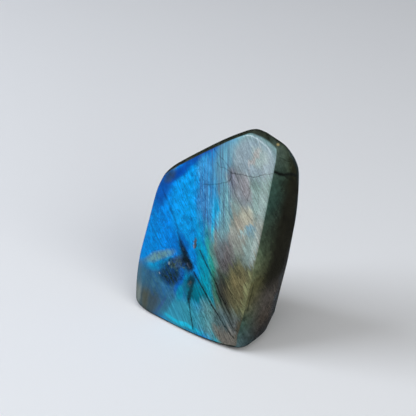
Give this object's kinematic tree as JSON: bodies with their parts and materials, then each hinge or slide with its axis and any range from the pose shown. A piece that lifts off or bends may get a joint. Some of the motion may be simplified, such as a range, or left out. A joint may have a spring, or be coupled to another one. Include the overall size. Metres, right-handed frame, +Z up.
{
  "type": "labradorite freeform",
  "caption": "Polished labradorite slab standing on a flat ground base, its broad front face leaning back and flashing blue to grey, with rounded edges and a domed back.",
  "frame": {"origin": "on the flat ground base, under the middle of the stone's bounding box", "axes": "+Z up out of the base, -Y the side that the broad flashing face looks towards, leaning back 16 degrees, +X to that face's right"},
  "size_m": [0.0501, 0.0336, 0.07],
  "materials": {
    "labradorite": "polished"
  },
  "bodies": {
    "root": {"stone": "labradorite"}
  },
  "joints": []
}
